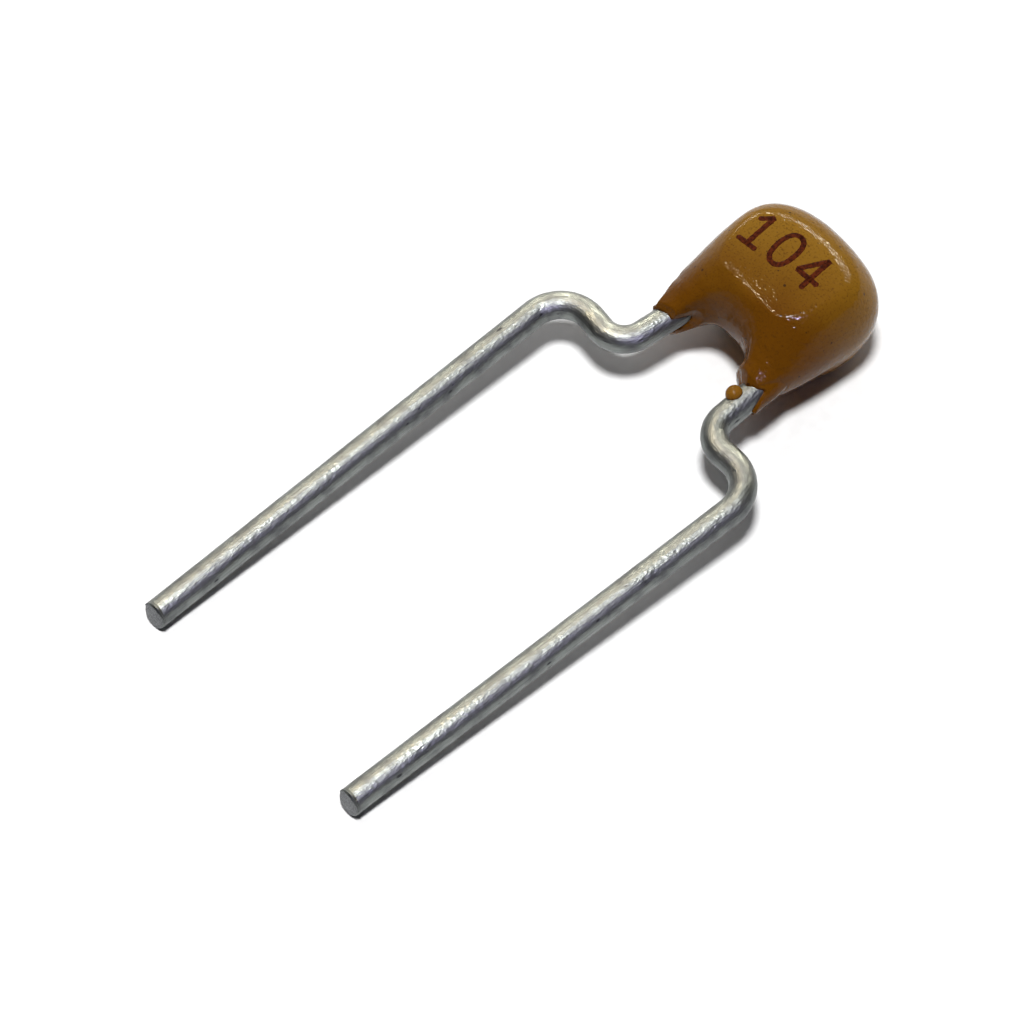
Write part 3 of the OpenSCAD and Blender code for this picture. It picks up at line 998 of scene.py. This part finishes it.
@dataclass
class StampedNumber:
    """A plain number stamped on the coat's upper face, drawn as strokes of ink."""

    digits: str = "104"
    height: float = 0.72
    pitch: float = 0.62
    stroke: float = 0.1
    start: Pair = (-1.06, -0.16)
    slope: float = 6.0
    film: float = 0.0025
    column: float = 0.012
    rows: int = 6
    curve_points: int = 25
    raggedness: float = 0.16
    ragged_scale: float = 14.0
    # Each digit is a list of strokes, and each stroke a chain of curves of four points each, in
    # shares of the digit's height.
    shapes: dict[str, tuple[tuple[Pair, ...], ...]] = field(
        default_factory=lambda: {
            "1": (
                ((0.1, 0.74), (0.18, 0.8), (0.27, 0.88), (0.34, 0.98), (0.34, 0.66), (0.34, 0.33), (0.34, 0.0)),
                ((0.08, 0.0), (0.2, 0.0), (0.44, 0.0), (0.58, 0.0)),
            ),
            "0": (
                (
                    (0.31, 1.0), (0.1, 1.0), (0.04, 0.74), (0.04, 0.5), (0.04, 0.26), (0.1, 0.0), (0.31, 0.0),
                    (0.52, 0.0), (0.58, 0.26), (0.58, 0.5), (0.58, 0.74), (0.52, 1.0), (0.31, 1.0),
                ),
            ),
            "4": (
                ((0.42, 0.0), (0.42, 0.3), (0.42, 0.7), (0.42, 1.0), (0.28, 0.74), (0.14, 0.5), (0.0, 0.28),
                 (0.2, 0.28), (0.42, 0.28), (0.62, 0.28)),
            ),
        }
    )

    def stamp(self, coat: Mesh) -> Mesh:
        """Lay the strokes on the coat.

        Args:
            coat: the coat's mesh in the body's mm.

        Returns:
            The ink's mesh in the body's mm.
        """
        tree = BVHTree.FromBMesh(coat)
        ink = bmesh.new()
        slope = Matrix.Rotation(math.radians(self.slope), 2)
        for place, digit in enumerate(self.digits):
            for stroke in self.shapes[digit]:
                path: list[Vector] = []
                for i in range(0, len(stroke) - 3, 3):
                    corner = Vector((place * self.pitch, 0))
                    knots = [Vector(point) * self.height + corner for point in stroke[i : i + 4]]
                    last = i + 6 >= len(stroke) - 1
                    path += list(interpolate_bezier(*knots, self.curve_points))[: None if last else -1]
                path = [slope @ point + Vector(self.start) for point in path]
                self._lay_stroke(ink, tree, path)
        bmesh.ops.recalc_face_normals(ink, faces=ink.faces)
        return ink

    def _lay_stroke(self, ink: Mesh, tree: BVHTree, path: list[Vector]) -> None:
        """Lay one round-ended stroke as a thin closed film that follows the coat."""
        lengths = [0.0]
        for a, b in zip(path, path[1:]):
            lengths.append(lengths[-1] + (b - a).length)
        total = lengths[-1]
        half = self.stroke / 2
        columns = max(12, round(total / self.column))
        grid = bmesh.ops.create_grid(ink, x_segments=columns, y_segments=self.rows, size=1)["verts"]
        for vert in grid:
            along = mix(-half, total + half, vert.co.x / 2 + 0.5)
            inside = min(total, max(0.0, along))
            ahead = next((k for k, length in enumerate(lengths) if length > inside), len(path))
            i = max(0, min(len(path) - 2, ahead - 1))
            share = (inside - lengths[i]) / max(1e-6, lengths[i + 1] - lengths[i])
            heading = (path[i + 1] - path[i]).normalized()
            place = path[i].lerp(path[i + 1], share) + heading * (along - inside)
            past = min(1.0, abs(along - inside) / half)
            spot = Vector((place.x, place.y, vert.co.y)) * self.ragged_scale
            ragged = 1 + self.raggedness * noise.noise(spot)
            width = half * math.sqrt(max(0.002, 1 - past * past)) * ragged
            place += Vector((-heading.y, heading.x)) * (width * vert.co.y)
            found, normal, _, _ = tree.ray_cast(Vector((place.x, place.y, 3)), -UP)
            vert.co = found + normal * self.film
        faces = {face for vert in grid for face in vert.link_faces}
        upper = bmesh.ops.extrude_face_region(ink, geom=list(faces))["geom"]
        sunk = [item for item in upper if isinstance(item, bmesh.types.BMVert)]
        bmesh.ops.translate(ink, vec=-2 * self.film * UP, verts=sunk)


# ---- The studio ----


@dataclass(frozen=True)
class Softbox:
    """A soft light far from the part: where it is, how wide it looks, and how bright the table gets."""

    name: str
    direction: Triple
    width: float
    height: float
    irradiance: float
    colour: str = "FFFFFF"
    distance: float = 0.4
    shines_only: bool = False

    def hang(self) -> None:
        """Hang the light so that it faces the part."""
        data = bpy.data.lights.new(self.name, "AREA")
        data.shape = "ELLIPSE"
        data.size = 2 * self.distance * math.tan(math.radians(self.width / 2))
        data.size_y = 2 * self.distance * math.tan(math.radians(self.height / 2))
        data.energy = self.irradiance * math.pi * self.distance**2
        data.color = linear(self.colour)[:3]
        light = bpy.data.objects.new(self.name, data)
        light.visible_diffuse = not self.shines_only
        way = Vector(self.direction).normalized()
        turn = way.to_track_quat("Z", "Y").to_matrix().to_4x4()
        light.matrix_world = Matrix.Translation(way * self.distance) @ turn
        bpy.context.scene.collection.objects.link(light)


@dataclass
class Studio:
    """Table, light and camera."""

    lights: tuple[Softbox, ...] = (
        Softbox("overhead_softbox", (0.045, -0.07, 1.0), 12, 12, 3.4),
        Softbox("back_strip", (-0.50, 0.70, 0.50), 70, 2, 5.0, "F8F0DA", shines_only=True),
        Softbox("near_strip", (-0.42, -0.08, 0.905), 8, 1, 1.5, "FFE6C0", shines_only=True),
        Softbox("side_lamp", (0.60, -0.21, 0.77), 2, 2, 1.6, "DCD2FF", shines_only=True),
    )
    sky_bright: str = "C8C8CA"
    sky_dark: str = "0B0B0D"
    sky_limits: Pair = (0.25, 1.0)
    bright_side: Triple = (-0.80, 0.45, 0.40)
    aim: Triple = (-0.19624, -0.67133, 0.01592)
    back: Triple = (0.40328, -0.35057, 0.84526)
    roll: float = 0.1888
    distance: float = 93.0
    focal: float = 191.27
    sensor: float = 36
    table_size: float = 0.6

    def set_up(self) -> None:
        """Build the table, the sky, the lights and the camera."""
        self._table()
        self._sky()
        for light in self.lights:
            light.hang()
        self._camera()
        bpy.context.scene.view_settings.view_transform = "Standard"

    def _table(self) -> None:
        """Lay a sheet of white card under the part."""
        mesh = bmesh.new()
        bmesh.ops.create_grid(mesh, x_segments=1, y_segments=1, size=self.table_size)
        table = new_object("table", mesh, [WHITE_CARD.material()])

    def _sky(self) -> None:
        """Light the room dimly, brighter behind the part on its left."""
        world = bpy.data.worlds.new("room")
        world.use_nodes = True
        tree = world.node_tree
        tree.nodes.clear()
        way = add_node(tree, "ShaderNodeTexCoord").outputs["Generated"]
        share = ramp(tree, facing(tree, way, self.bright_side), self.sky_limits)
        share.node.interpolation_type = "SMOOTHSTEP"
        tone = blend(tree, share, self.sky_dark, self.sky_bright)
        shader = add_node(tree, "ShaderNodeBackground", links={"Color": tone})
        add_node(tree, "ShaderNodeOutputWorld", links={"Surface": shader.outputs["Background"]})
        bpy.context.scene.world = world

    def _camera(self) -> None:
        """Put the camera up high to the right of the legs, with a long lens."""
        data = bpy.data.cameras.new("camera")
        data.lens = self.focal
        data.sensor_width = self.sensor
        data.clip_start = 0.001
        data.clip_end = 5
        camera = bpy.data.objects.new("camera", data)
        back = Vector(self.back).normalized()
        level = UP.cross(back).normalized()
        turn = Matrix((level, back.cross(level), back)).transposed().to_4x4()
        place = (Vector(self.aim) + back * self.distance) * MM
        roll = Matrix.Rotation(math.radians(self.roll), 4, "Z")
        camera.matrix_world = Matrix.Translation(place) @ turn @ roll
        bpy.context.scene.collection.objects.link(camera)
        bpy.context.scene.camera = camera


# ---- Everything together ----


class Capacitor:
    """The whole part."""

    def __init__(self) -> None:
        """Set the sizes that its pieces share."""
        self.left = Leg(Side.LEFT, reach=2.64, lean=3.1, length=8.65, seed=0.0)
        self.right = Leg(Side.RIGHT, reach=2.58, lean=-1.0, length=8.35, seed=40.0)
        self.frame = BodyFrame(self.left.lean)
        self.coat = DippedCoat(
            {
                Side.LEFT: LegCoat(
                    self.left,
                    end=1.84,
                    stretched_end=2.0,
                    edge=(
                        (-180, 1.86), (-150, 1.84), (-125, 1.68), (-105, 1.5), (-81, 1.42), (-66, 1.44),
                        (-55, 1.6), (-42, 1.78), (-20, 1.77), (27, 1.83), (65, 1.85), (110, 1.82), (150, 1.85),
                    ),
                ),
                Side.RIGHT: LegCoat(
                    self.right,
                    end=1.65,
                    stretched_end=1.85,
                    edge=(
                        (-180, 1.9), (-130, 1.75), (-66, 1.65), (-15, 1.67), (0, 1.61), (17, 1.58), (42, 1.49),
                        (49, 1.49), (54, 1.57), (64, 1.65), (76, 1.76), (90, 1.83), (130, 1.8),
                    ),
                ),
            }
        )
        self.droplet = Droplet(self.right)
        self.number = StampedNumber()

    def build(self) -> None:
        """Build and dress every piece."""
        wire, tip = TinnedWire().material(), SHEARED_STEEL.material()
        epoxy = DippedEpoxy().material()
        for leg in (self.left, self.right):
            piece = finished_object(leg.name + "_wire", self.frame.settle(leg.draw()), [wire, tip])
            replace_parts(piece, leg.name)
        skin = self.coat.dip()
        ink = self.number.stamp(skin)
        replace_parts(finished_object("dipped_coat", self.frame.settle(skin), [epoxy]), "epoxy_coating")
        finished_object("stamped_number", self.frame.settle(ink), [PAD_INK.material()])
        thin_epoxy = DippedEpoxy("thin_dipped_epoxy", colour="7E5418", shaded_colour="7E5418").material()
        bead = finished_object("stray_droplet", self.frame.settle(self.droplet.shape()), [thin_epoxy])
        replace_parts(bead, "coating_droplet")
        self._dress_inside()

    def _dress_inside(self) -> None:
        """Give the solids inside the coat their finishes."""
        finishes = {
            FIRED_CERAMIC: ("ceramic_block",),
            FIRED_NICKEL: ("left_electrodes", "right_electrodes"),
            PLATED_TIN: ("left_end_metal", "right_end_metal"),
            FROZEN_SOLDER: ("left_solder", "right_solder"),
        }
        for finish, names in finishes.items():
            material = finish.material()
            for name in names:
                for slot in frame["nodes"][name].material_slots:
                    slot.material = material
                LOG.info("%s: %s", name, finish.name)


def main() -> None:
    """Build the part and its studio."""
    logging.basicConfig(level=logging.INFO, format="%(name)s: %(message)s")
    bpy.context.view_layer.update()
    Capacitor().build()
    Studio().set_up()


if __name__ == "__main__":
    main()
